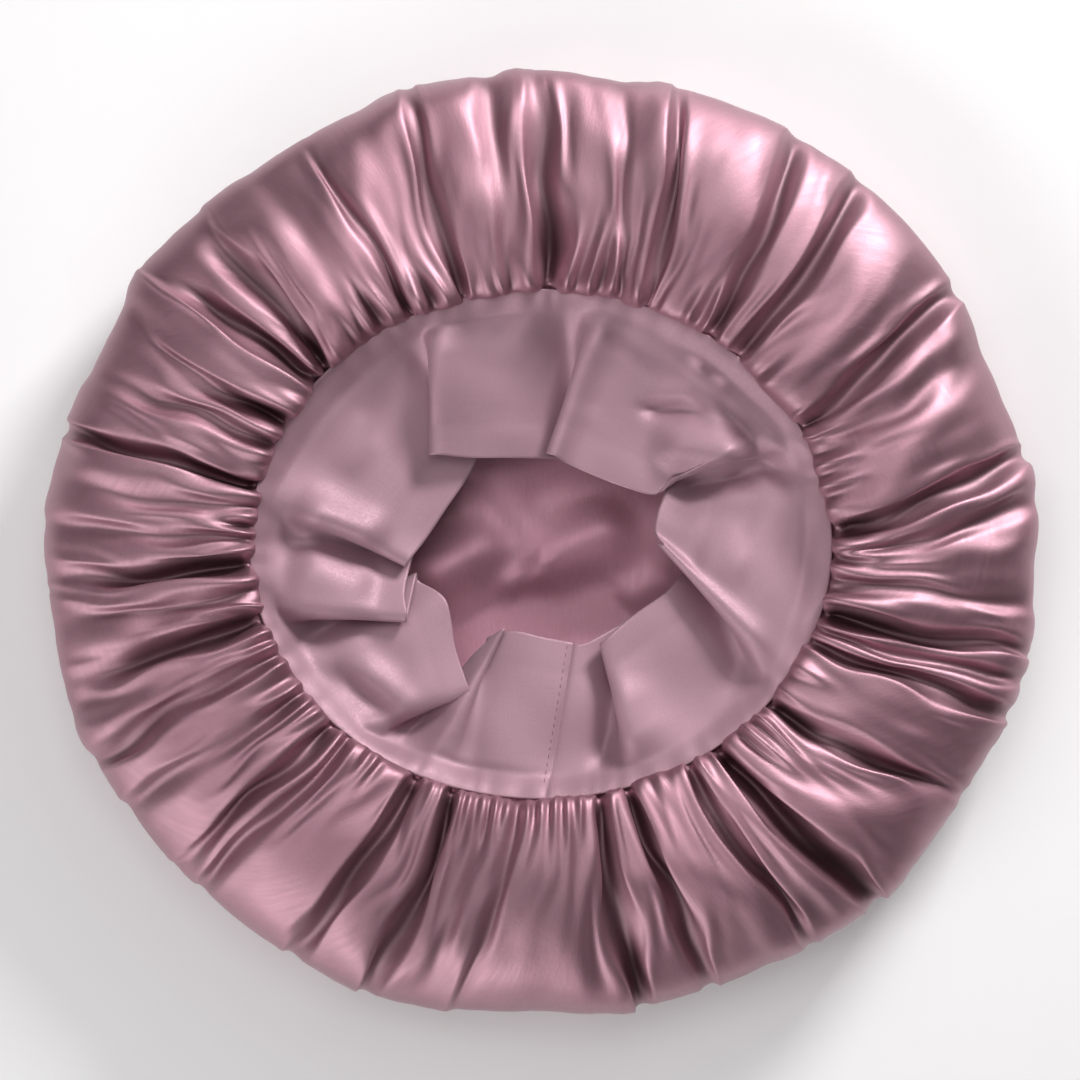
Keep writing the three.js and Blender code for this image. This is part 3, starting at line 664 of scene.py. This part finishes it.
def build_lining(sizes, colours):
    """The bag inside the crown, with a loose floor."""
    columns = LINING_COLUMNS
    angle = (np.arange(columns) + 0.5) * TURN / columns
    mean, wider, back = EVEN_RIM
    edge = (mean + wider * np.cos(2 * angle) + back * np.sin(angle)) * MM - sizes.lining_slack
    ring = ring_radius(angle, sizes) + LINING_OUTSIDE
    shares = np.linspace(*FLOOR_RINGS)
    flat_edge = edge - LINING_UNDER[0][0] * MM
    radii = [flat_edge * share for share in shares]
    heights = [LINING_UNDER[0][1] * MM] * len(shares)
    start = edge - LINING_UNDER[-1][0] * MM
    outline = [(edge - inward * MM, high * MM) for inward, high in LINING_UNDER]
    outline += [(start + (ring - start) * share, high * MM) for share, high in LINING_OVER]
    for (r0, z0), (r1, z1) in zip(outline, outline[1:]):
        for part in LINING_STEPS:
            radii.append(r0 + (r1 - r0) * part)
            heights.append(z0 + (z1 - z0) * part)
    verts = []
    cut = []
    reach = radii[0].mean()
    for k, (radius, height) in enumerate(zip(radii, heights)):
        if k > 0:
            reach += math.hypot(radius.mean() - radii[k - 1].mean(), height - heights[k - 1])
        x = radius * np.cos(angle) + RING_MIDDLE[0]
        y = radius * np.sin(angle) + RING_MIDDLE[1]
        on_floor = np.clip(1 - (height - heights[0]) / FLOOR_FADE, 0, 1)
        loose = crease_height(x, y, LINING_CREASES) + FLOOR_WAVES * noise_wave(x, y, *FLOOR_NOISE)
        gathers = LINING_GATHER * uneven_wave(angle, *LINING_GATHERS) * (1 - on_floor)
        z = height + LIFT + np.maximum(loose, -FLOOR_DIP) * on_floor + gathers + FLOOR_LIFT * on_floor
        verts.append(np.stack([x, y, z], axis=1))
        cut.append(np.stack([reach * np.cos(angle), reach * np.sin(angle)], axis=1))
    width = 2 * reach
    material = satin("lining satin", colours.lining, colours.lining_shine, width)
    piece = make_piece("lining", np.concatenate(verts), ring_faces(len(radii), columns), material)
    map_cut(piece, np.concatenate(cut), width)
    subdivide(piece)
    close_middle(piece, LINING_MIDDLE)
    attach(piece, "root")
    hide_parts("crown_lining")


# ---------------------------------------------------------------- band

PLEAT_SPREAD = 2.1  # degrees of the seam ring between a pleat's own ribs
PLEAT_SLOPE = 0.35  # share of a layer's height that a pleat's middle layer slants by
PLEAT_TURN = 0.2  # how far a pleat's edge stands out past its layers, as a share of their gap
BAND_ROWS = 38
ROW_CROWDING = 1.1  # over 1 for more rows beside the seam
RIB_STEP = 3.0  # mm of the strip between ribs
RIB_RADIUS = 90  # mm; turns the ribs' angles into lengths
SEAM_INSIDE = 0.2 * MM  # how far the band's edge is inside the seam ring

# Heights along the band, from its seam at 0 to its free edge at 1.
BOWL_SHARE = 0.78  # share of its whole fall that is close to the ring
BOWL_REACH = 0.13  # share of its width over which that happens
RISE_END = 0.34  # share of its width over which a pleat's layers part
TUCK, TUCK_REACH = 1.6 * MM, 0.03  # its edge, tucked down at the seam
ARCH_PACE = 1.25  # the arch ends at 1 / 1.25 of the width
GATHER, GATHER_PLACE, GATHER_REACH = 0.5 * MM, 0.05, 0.07  # fine gathers beside the seam
LIP, LIP_REACH = 0.9 * MM, 0.05  # the roll of the cloth over the seam's allowance
GROOVE_PLACE, GROOVE_REACH = 0.14, 0.035  # the groove past that roll
GROOVE = (0.3, 0.4, 0.3)  # mm; its depth, and how far two waves round the ring change it
ARCH_START, WAVES_START = 0.1, 0.15  # shares of the width over which these begin
BAND_GATHERS = (2.4, 1.5, 0.37)  # pace in radians a rib, and how they stray
BAND_WAVES = 0.9 * MM
BAND_NOISE = (11, 9, 60 * MM)  # seed, number of waves and the longest


def pleat_ribs(row):
    """A pleat's six ribs: three round its first edge, three round its second."""
    _, seam, shows, tucked, high, on_top, layer = row
    sign = 1 if on_top == "before" else -1
    first, second = (shows, tucked) if on_top == "before" else (tucked, shows)
    span = np.subtract(second, first)
    back = span / np.hypot(*span) * layer * 0.5
    turn = -PLEAT_TURN * back
    outer, edge, inner = sign * layer, sign * layer * (1 + PLEAT_SLOPE) / 2, sign * layer * PLEAT_SLOPE
    ends = [
        (first, back, -2.5, outer), (first, turn, -1.5, edge), (first, back, -0.5, inner),
        (second, -back, 0.5, -inner), (second, -turn, 1.5, -edge), (second, -back, 2.5, -outer),
    ]
    return [
        np.array((seam + step * PLEAT_SPREAD, *(point + shift), high, lift))
        for point, shift, step, lift in ends
    ]


def curve_through(points, steps):
    """A smooth curve through the points, with a number of steps between each two."""
    known = np.vstack([2 * points[0] - points[1], points, 2 * points[-1] - points[-2]])
    out = [points[0]]
    for i, count in enumerate(steps):
        a, b, c, d = known[i:i + 4]
        bend = 2 * a - 5 * b + 4 * c - d
        twist = 3 * b - a - 3 * c + d
        for t in np.arange(1, count + 1) / count:
            out.append(0.5 * (2 * b + (c - a) * t + bend * t * t + twist * t**3))
    return out


def band_ribs():
    """Every rib of the band in order: seam angle, free edge's x and y in mm, its height, its lift."""
    first_pleat = next(i for i, row in enumerate(BAND) if row[0] == "pleat")
    ordered = BAND[first_pleat:] + BAND[:first_pleat]
    turned = []
    last = None
    for row in ordered:
        seam = row[1]
        while last is not None and seam < last:
            seam += 360
        last = seam
        turned.append((row[0], seam, *row[2:]))
    closing = (turned[0][0], turned[0][1] + 360, *turned[0][2:])
    pleat = pleat_ribs(turned[0])
    ribs = pleat[:5]
    panel = [pleat[5]]
    for row in turned[1:] + [closing]:
        if row[0] == "panel":
            _, seam, point, high, lift = row
            panel.append(np.array((seam, *point, high, lift)))
            continue
        pleat = pleat_ribs(row)
        panel.append(pleat[0])
        wide = [
            np.radians(b[0] - a[0]) * RIB_RADIUS + np.hypot(*(b[1:3] - a[1:3]))
            for a, b in zip(panel, panel[1:])
        ]
        steps = [max(1, round(gap / 2 / RIB_STEP)) for gap in wide]
        ribs += curve_through(np.array(panel), steps)[:-1]
        if row is not closing:
            ribs += pleat[:5]
            panel = [pleat[5]]
    return np.array(ribs)


def build_band(sizes, colours):
    """The strip from the seam ring in to the mouth, folded into panels and pleats."""
    ribs = band_ribs()
    count = len(ribs)
    seam = np.radians(ribs[:, 0])
    outer = ring_radius(seam, sizes) - SEAM_INSIDE
    gathers = uneven_wave(np.arange(count), *BAND_GATHERS)
    mean, slow, fast = GROOVE
    groove = (mean + slow * np.sin(seam * 3 + 1) + fast * np.sin(seam * 7 + 2)) * MM
    start = np.stack([outer * np.cos(seam), outer * np.sin(seam)], axis=1) + RING_MIDDLE
    finish = ribs[:, 1:3] * MM
    verts = []
    cut = []
    strip = np.concatenate([[0], np.cumsum(np.hypot(*np.diff(start, axis=0).T))])
    for k in range(BAND_ROWS):
        t = (k / (BAND_ROWS - 1)) ** ROW_CROWDING
        x, y = (start + (finish - start) * t).T
        fall = t * (1 - BOWL_SHARE) + BOWL_SHARE * (1 - math.exp(-t / BOWL_REACH))
        z = sizes.seam_height + (ribs[:, 3] * MM - sizes.seam_height) * fall
        z += ribs[:, 4] * MM * smooth(t / RISE_END)
        z -= TUCK * math.exp(-t / TUCK_REACH)
        z += sizes.band_arch * math.sin(math.pi * min(1.0, t * ARCH_PACE)) * smooth(t / ARCH_START)
        z += GATHER * gathers * hump(t, GATHER_PLACE, GATHER_REACH)
        z += LIP * hump(t, GATHER_PLACE, LIP_REACH)
        z -= groove * hump(t, GROOVE_PLACE, GROOVE_REACH)
        z += crease_height(x, y, BAND_DENTS)
        z += BAND_WAVES * noise_wave(x, y, *BAND_NOISE) * smooth(t / WAVES_START)
        verts.append(np.stack([x, y, z], axis=1))
        cut.append(np.stack([strip, np.full(count, t * sizes.band_width)], axis=1))
    material = band_cloth("band cloth", colours.band)
    piece = make_piece("band", np.concatenate(verts), ring_faces(BAND_ROWS, count), material)
    map_cut(piece, np.concatenate(cut), 1.0)
    subdivide(piece)
    thick = piece.modifiers.new("thickness", "SOLIDIFY")
    thick.thickness = sizes.band_thickness
    thick.offset = 0.0
    bake(piece)
    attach(piece, "root")
    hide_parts("head_band")


# ---------------------------------------------------------------- stitches

BACK_SEAM = [(11.0, -34.3), (6.7, -60.3), (2.6, -84.0)]  # x, y in mm, from the mouth to the ring
STITCH_BESIDE = 1.9  # mm from the seam to its stitches
STITCH_ENDS = (0.12, 0.82)  # where in its pitch a stitch comes up and goes down
STITCH_SIDES, STITCH_STEPS = 6, 7
STITCH_TIP = 0.55  # thickness of its ends, as a share of the middle's
STITCH_BOW, STITCH_SINK = 1.7, 1.1  # how far it bows up and how deep its ends lie, in thread radii
ABOVE = 0.2  # a height over the whole bonnet


def top_of(piece_name, x, y):
    """The height of a piece's top at x, y."""
    piece = bpy.data.objects[piece_name]
    hit, place, _, _ = piece.ray_cast(Vector((x, y, ABOVE)), Vector((0, 0, -1)))
    if not hit:
        raise RuntimeError(f"nothing of {piece_name} at {x:.4f}, {y:.4f}")
    return place.z


def stitch(verts, faces, start, end, radius):
    """One stitch: a thread that comes up at one hole and goes down at the next."""
    sides, steps = STITCH_SIDES, STITCH_STEPS
    run = end - start
    side = Vector((-run.y, run.x, 0)).normalized()
    first = len(verts)
    for i in range(steps + 1):
        t = i / steps
        bow = math.sin(math.pi * t)
        middle = start + run * t + Vector((0, 0, radius * (STITCH_BOW * bow**0.6 - STITCH_SINK)))
        size = radius * (STITCH_TIP + (1 - STITCH_TIP) * bow)
        for j in range(sides):
            turn = TURN * j / sides
            verts.append(middle + side * (size * math.cos(turn)) + Vector((0, 0, size * math.sin(turn))))
    for i in range(steps):
        for j in range(sides):
            a = first + i * sides + j
            b = first + i * sides + (j + 1) % sides
            faces.append((a, b, b + sides, a + sides))
    faces.append(tuple(first + j for j in reversed(range(sides))))
    faces.append(tuple(first + steps * sides + j for j in range(sides)))


def build_stitches(sizes, colours):
    """The row of stitches beside the band's back seam."""
    verts = []
    faces = []
    path = [Vector(((x - STITCH_BESIDE) * MM, y * MM, 0)) for x, y in BACK_SEAM]
    stretch = [(b - a).length for a, b in zip(path, path[1:])]
    total = sum(stretch)
    pitch = sizes.stitch_pitch
    for k in range(int(total / pitch) - 1):
        ends = []
        for part in STITCH_ENDS:
            d = (k + part) * pitch
            leg = 0 if d < stretch[0] else 1
            d -= sum(stretch[:leg])
            place = path[leg].lerp(path[leg + 1], d / stretch[leg])
            place.z = top_of("band", place.x, place.y)
            ends.append(place)
        stitch(verts, faces, ends[0], ends[1], sizes.thread_radius)
    piece = make_piece("band_stitches", verts, faces, thread("thread", colours.thread))
    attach(piece, "root")


# ---------------------------------------------------------------- materials

SHADE_LEFT_IN_FOLDS = (0.3, 0.18, 0.22)  # how much of the satin's red, green and blue is left where shade is painted deepest in a fold


def add(tree, kind, inputs=None, **settings):
    """A node's outputs. It takes settings, and values or links for its inputs by name or number."""
    made = tree.nodes.new("ShaderNode" + kind)
    set_all(made, settings)
    for name, value in (inputs or {}).items():
        if isinstance(value, bpy.types.NodeSocket):
            tree.links.new(value, made.inputs[name])
        else:
            made.inputs[name].default_value = value
    return made.outputs


def new_material(name):
    """An empty material and its node tree."""
    material = bpy.data.materials.new(name)
    material.use_nodes = True
    material.node_tree.nodes.clear()
    return material, material.node_tree


def finish_material(material, shader_inputs):
    """Gives the material its one shader."""
    tree = material.node_tree
    shader = add(tree, "BsdfPrincipled", shader_inputs)
    add(tree, "OutputMaterial", {"Surface": shader[0]})
    return material


def shade_of(colour, factor):
    """The colour made lighter or darker, with its alpha."""
    return (colour[0] * factor, colour[1] * factor, colour[2] * factor, 1)


def blend_colours(tree, factor, first, second):
    """The first colour blended into the second by a factor."""
    inputs = {0: factor, 6: first, 7: second}
    return add(tree, "Mix", inputs, data_type="RGBA")[2]


def change_range(tree, value, low, high, new_low, new_high):
    """A value between low and high, carried over to a new range."""
    inputs = {0: value, 1: low, 2: high, 3: new_low, 4: new_high}
    return add(tree, "MapRange", inputs)[0]


def speckle(tree, place, scale, detail):
    """Noise over the object's own coordinates."""
    return add(tree, "TexNoise", {"Vector": place, "Scale": scale, "Detail": detail})[0]


def uneven_dye(tree, dye, colour, pale, dark):
    """The cloth's colour with the dye a little lighter and darker from place to place."""
    share = change_range(tree, dye, 0.35, 0.65, 0.0, 1.0)
    return blend_colours(tree, share, shade_of(colour, pale), shade_of(colour, dark))


def threads_of(tree, width, across, along):
    """Threads that lie side by side in the cloth: lighter and darker floats, seen in the cut."""
    cut = add(tree, "UVMap", uv_map="cut")[0]
    stretched = add(tree, "Mapping", {"Vector": cut, "Scale": (width / across, width / along, 1)})[0]
    inputs = {"Vector": stretched, "Scale": 1.0, "Detail": 2.0, "Roughness": 0.6}
    return add(tree, "TexNoise", inputs)[0]


def relief(tree, *layers):
    """Raises the surface layer by layer. Columns: what raises it; strength; height in metres."""
    under = {}
    for height, strength, depth in layers:
        inputs = {"Height": height, "Strength": strength, "Distance": depth}
        under = {"Normal": add(tree, "Bump", inputs | under)[0]}
    return under["Normal"]


def satin(name, colour, shine, width):
    """Glossy satin: fine floats along the warp, a sheen that follows them, slightly uneven dye, and shade
    painted into its folds.
    """
    material, tree = new_material(name)
    floats = threads_of(tree, width, 0.42 * MM, 5 * MM)
    slubs = threads_of(tree, width, 1.6 * MM, 28 * MM)
    place = add(tree, "TexCoord")["Object"]
    dye = speckle(tree, place, 14.0, 3.0)
    crumple = speckle(tree, place, 70.0, 2.0)
    grain = speckle(tree, place, 900.0, 2.0)
    dyed = uneven_dye(tree, dye, colour, 0.92, 1.07)
    streak = change_range(tree, floats, 0.3, 0.7, 0.0, 0.32)
    streaked = blend_colours(tree, streak, dyed, shade_of(colour, 1.3))
    # Painted shade: the satin's colour darkens into a darker copy of itself where a point lies deep in a
    # fold.
    depth = add(tree, "Attribute", attribute_name="fold_depth")["Fac"]
    painted_fold_shade = (*(part * left for part, left in zip(colour, SHADE_LEFT_IN_FOLDS)), 1)
    gloss = {
        "Base Color": blend_colours(tree, depth, streaked, painted_fold_shade),
        "Metallic": shine,
        "Roughness": change_range(tree, slubs, 0.3, 0.7, 0.51, 0.59),
        "Anisotropic": 0.35,
        "Tangent": add(tree, "Tangent", direction_type="UV_MAP", uv_map="cut")[0],
        "Specular IOR Level": 0.6,
        "Coat Weight": 0.7,
        "Coat Roughness": 0.5,
        "Coat IOR": 1.8,
    }
    gloss["Normal"] = relief(
        tree, (floats, 0.55, 0.1 * MM), (slubs, 0.3, 0.12 * MM), (grain, 0.4, 0.12 * MM),
        (crumple, 0.3, 0.5 * MM),
    )
    return finish_material(material, gloss)


def band_cloth(name, colour):
    """Soft matte plain weave: warp over weft, a faint bloom of fibres, slightly uneven dye."""
    material, tree = new_material(name)
    warp = threads_of(tree, 1.0, 0.5 * MM, 9 * MM)
    weft = threads_of(tree, 1.0, 9 * MM, 0.5 * MM)
    weave = add(tree, "Math", {0: warp, 1: weft}, operation="ADD")[0]
    place = add(tree, "TexCoord")["Object"]
    dye = speckle(tree, place, 22.0, 4.0)
    pile = speckle(tree, place, 1400.0, 2.0)
    dyed = uneven_dye(tree, dye, colour, 0.94, 1.05)
    woven = change_range(tree, weave, 0.8, 1.2, 0.0, 0.3)
    matte = {
        "Base Color": blend_colours(tree, woven, dyed, shade_of(colour, 1.14)),
        "Roughness": change_range(tree, pile, 0.3, 0.7, 0.5, 0.62),
        "Specular IOR Level": 0.5,
        "Metallic": 0.35,
        "Sheen Weight": 0.15,
        "Sheen Roughness": 0.5,
        "Normal": relief(tree, (weave, 0.25, 0.12 * MM), (pile, 0.35, 0.1 * MM)),
    }
    return finish_material(material, matte)


def thread(name, colour):
    """Sewing thread: plies that twist round it."""
    material, tree = new_material(name)
    place = add(tree, "TexCoord")["Object"]
    turned = add(tree, "Mapping", {"Vector": place, "Rotation": (0, 0, 0.7)})[0]
    plies = add(tree, "TexWave", {"Vector": turned, "Scale": 900.0, "Distortion": 1.5})["Fac"]
    twisted = {
        "Base Color": blend_colours(tree, plies, shade_of(colour, 0.8), shade_of(colour, 1.1)),
        "Roughness": 0.55,
        "Normal": relief(tree, (plies, 0.5, 0.05 * MM)),
    }
    return finish_material(material, twisted)


def table_paint(name, colour):
    """A plain matte table top with the faintest unevenness."""
    material, tree = new_material(name)
    grain = speckle(tree, add(tree, "TexCoord")["Object"], 60.0, 3.0)
    painted = blend_colours(tree, grain, shade_of(colour, 0.985), shade_of(colour, 1.0))
    return finish_material(material, {"Base Color": painted, "Roughness": 0.9})


# ---------------------------------------------------------------- stage

CAMERA_DISTANCE = 1.4
CAMERA_LENS = 140  # mm, as is the sensor's width
CAMERA_SENSOR = 36
TABLE_HALF = 4  # metres

# The soft boxes. Columns: name; x, y, z in metres; width and depth in metres; power in watts.
LIGHTS = [
    ("key", (0.66, 1.0, 0.6), (0.36, 0.34), 16.5),
    ("wide", (0.35, 1.1, 1.1), (1.6, 1.2), 5.5),
    ("fill", (-0.85, -1.1, 0.75), (1.9, 1.0), 20),
    ("top", (-0.2, 0.5, 1.9), (1.2, 0.8), 8),
]


def soft_box(name, place, size, power, colour):
    """A rectangular light that faces the middle of the table."""
    data = bpy.data.lights.new(name, "AREA")
    data.shape = "RECTANGLE"
    data.size, data.size_y = size
    data.energy = power
    data.color = colour
    light = bpy.data.objects.new(name, data)
    bpy.context.scene.collection.objects.link(light)
    light.location = place
    light.rotation_euler = (-Vector(place)).to_track_quat("-Z", "Y").to_euler()


def build_stage(sizes, colours):
    """The table, the soft boxes, the light from all round and the camera."""
    scene = bpy.context.scene
    half = TABLE_HALF
    corners = [(-half, -half, 0), (half, -half, 0), (half, half, 0), (-half, half, 0)]
    table = make_piece("table_top", corners, [(0, 1, 2, 3)], table_paint("table paint", colours.table))

    for name, place, size, power in LIGHTS:
        soft_box(name, place, size, power, tuple(colours.light))
    world = bpy.data.worlds.new("studio")
    world.use_nodes = True
    background = world.node_tree.nodes["Background"]
    background.inputs["Color"].default_value = (*colours.light, 1)
    background.inputs["Strength"].default_value = sizes.room_light
    scene.world = world

    data = bpy.data.cameras.new("camera")
    data.lens = CAMERA_LENS
    data.sensor_width = CAMERA_SENSOR
    camera = bpy.data.objects.new("camera", data)
    scene.collection.objects.link(camera)
    camera.location = (0, 0, CAMERA_DISTANCE + sizes.seam_height / 2)
    scene.camera = camera
    scene.view_settings.view_transform = "Standard"


# ---------------------------------------------------------------- add-on

def length_prop(name, description, default):
    return FloatProperty(
        name=name, description=description, default=default, min=0.0, subtype="DISTANCE", unit="LENGTH"
    )


def colour_prop(name, description, default):
    return FloatVectorProperty(
        name=name, description=description, default=default, min=0.0, max=1.0, subtype="COLOR"
    )


def amount_prop(name, description, default):
    return FloatProperty(name=name, description=description, default=default, min=0.0)


def share_prop(name, description, default):
    return FloatProperty(
        name=name, description=description, default=default, min=0.0, max=1.0, subtype="FACTOR"
    )


def count_prop(name, description, default):
    return IntProperty(name=name, description=description, default=default, min=0)


class BonnetSizes(bpy.types.PropertyGroup):
    seam_half_width: length_prop("Seam half width", "Half the seam ring's width, side to side", 96 * MM)
    seam_half_depth: length_prop("Seam half depth", "Half the seam ring's depth, front to back", 84 * MM)
    seam_height: length_prop("Seam height", "Height of the seam ring over the table", 43.5 * MM)
    lining_slack: length_prop("Lining slack", "How far the lining's rim stays inside the crown's", 8 * MM)
    band_width: length_prop("Band width", "Width of the band from its seam to its free edge", 58 * MM)
    band_thickness: length_prop("Band thickness", "Thickness of the band's doubled cloth", 0.8 * MM)
    band_arch: length_prop("Band arch", "How far the band arches up between its edges", 1.6 * MM)
    stitch_pitch: length_prop("Stitch pitch", "Length of one stitch and its gap", 2.6 * MM)
    thread_radius: length_prop("Thread radius", "Radius of the sewing thread", 0.17 * MM)
    room_light: amount_prop("Room light", "Strength of the light from all round", 0.04)


class BonnetColours(bpy.types.PropertyGroup):
    satin: colour_prop("Satin", "Colour of the crown's satin", (0.36, 0.176, 0.227))
    satin_shine: share_prop("Satin shine", "Share of mirror-like gloss", 0.88)
    lining: colour_prop("Lining", "Colour of the lining's satin", (0.72, 0.33, 0.445))
    lining_shine: share_prop("Lining shine", "Share of mirror-like gloss", 0.5)
    band: colour_prop("Band", "Colour of the band's matte cloth", (0.405, 0.24, 0.292))
    thread: colour_prop("Thread", "Colour of the sewing thread", (0.36, 0.2, 0.25))
    table: colour_prop("Table", "Colour of the table top", (0.93, 0.93, 0.93))
    light: colour_prop("Light", "Colour of the studio light", (1.0, 0.985, 0.99))


class BonnetSettle(bpy.types.PropertyGroup):
    frames: count_prop("Frames", "Frames that the satin settles for", 16)
    tallest_fold: amount_prop("Tallest fold", "Most that a crease's height may grow", 3.2)
    hold: share_prop("Hold", "How firmly the ruffle keeps its first shape", 0.01)
    rim_hold: share_prop("Rim hold", "How firmly the rim keeps its first shape", 0.6)
    rim_reach: share_prop("Rim reach", "Share of the ruffle that the rim's hold fades over", 0.18)
    settled_share: share_prop("Settled share", "How much of the settling shows", 0.5)
    easing: count_prop("Easing", "Passes that straighten the folds along their length", 2)
    stretch_stiffness: amount_prop("Stretch", "The satin's stiffness against stretching", 12.0)
    bend_stiffness: amount_prop("Bend", "The satin's stiffness against bending", 5.0)
    gravity: share_prop("Gravity", "Share of gravity while settling", 0.2)
    pressure: amount_prop("Pressure", "Push of the air in the bag", 60.0)


def bonnet_groups(context):
    """What a user sets: the sizes, the colours and how the satin settles."""
    scene = context.scene
    return scene.bonnet_sizes, scene.bonnet_colours, scene.bonnet_settle


class BONNET_OT_crown(bpy.types.Operator):
    """Gather the satin crown bag and let it settle"""

    bl_idname = "bonnet.crown"
    bl_label = "Crown"

    def execute(self, context):
        build_crown(*bonnet_groups(context))
        return {"FINISHED"}


class BONNET_OT_lining(bpy.types.Operator):
    """Lay the satin lining inside the crown"""

    bl_idname = "bonnet.lining"
    bl_label = "Lining"

    def execute(self, context):
        build_lining(*bonnet_groups(context)[:2])
        return {"FINISHED"}


class BONNET_OT_band(bpy.types.Operator):
    """Fold the wide band in over the mouth, with its pleats"""

    bl_idname = "bonnet.band"
    bl_label = "Band"

    def execute(self, context):
        build_band(*bonnet_groups(context)[:2])
        return {"FINISHED"}


class BONNET_OT_stitches(bpy.types.Operator):
    """Sew the row of stitches beside the band's back seam"""

    bl_idname = "bonnet.stitches"
    bl_label = "Stitches"

    def execute(self, context):
        build_stitches(*bonnet_groups(context)[:2])
        return {"FINISHED"}


class BONNET_OT_stage(bpy.types.Operator):
    """Set the table, the soft boxes and the camera"""

    bl_idname = "bonnet.stage"
    bl_label = "Stage"

    def execute(self, context):
        build_stage(*bonnet_groups(context)[:2])
        return {"FINISHED"}


class BONNET_PT_panel(bpy.types.Panel):
    """Sizes, colours and buttons of the bonnet"""

    bl_idname = "BONNET_PT_panel"
    bl_label = "Sleep Bonnet"
    bl_space_type = "VIEW_3D"
    bl_region_type = "UI"
    bl_category = "Bonnet"

    def draw(self, context):
        layout = self.layout
        for group in bonnet_groups(context):
            box = layout.box()
            for name in group.__annotations__:
                box.prop(group, name)
        for operator in OPERATORS:
            layout.operator(operator.bl_idname)


OPERATORS = (BONNET_OT_crown, BONNET_OT_lining, BONNET_OT_band, BONNET_OT_stitches, BONNET_OT_stage)
GROUPS = (BonnetSizes, BonnetColours, BonnetSettle)


def register():
    for made in GROUPS + OPERATORS + (BONNET_PT_panel,):
        bpy.utils.register_class(made)
    bpy.types.Scene.bonnet_sizes = PointerProperty(type=BonnetSizes)
    bpy.types.Scene.bonnet_colours = PointerProperty(type=BonnetColours)
    bpy.types.Scene.bonnet_settle = PointerProperty(type=BonnetSettle)


def unregister():
    del bpy.types.Scene.bonnet_settle
    del bpy.types.Scene.bonnet_colours
    del bpy.types.Scene.bonnet_sizes
    for made in reversed(GROUPS + OPERATORS + (BONNET_PT_panel,)):
        bpy.utils.unregister_class(made)


def main():
    """Builds every piece and the stage."""
    for name in ("Cube", "Light", "Camera"):
        if name in bpy.data.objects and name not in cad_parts:
            bpy.data.objects.remove(bpy.data.objects[name])
    register()
    bpy.ops.bonnet.crown()
    bpy.ops.bonnet.lining()
    bpy.ops.bonnet.band()
    bpy.ops.bonnet.stitches()
    bpy.ops.bonnet.stage()


if __name__ == "__main__":
    main()
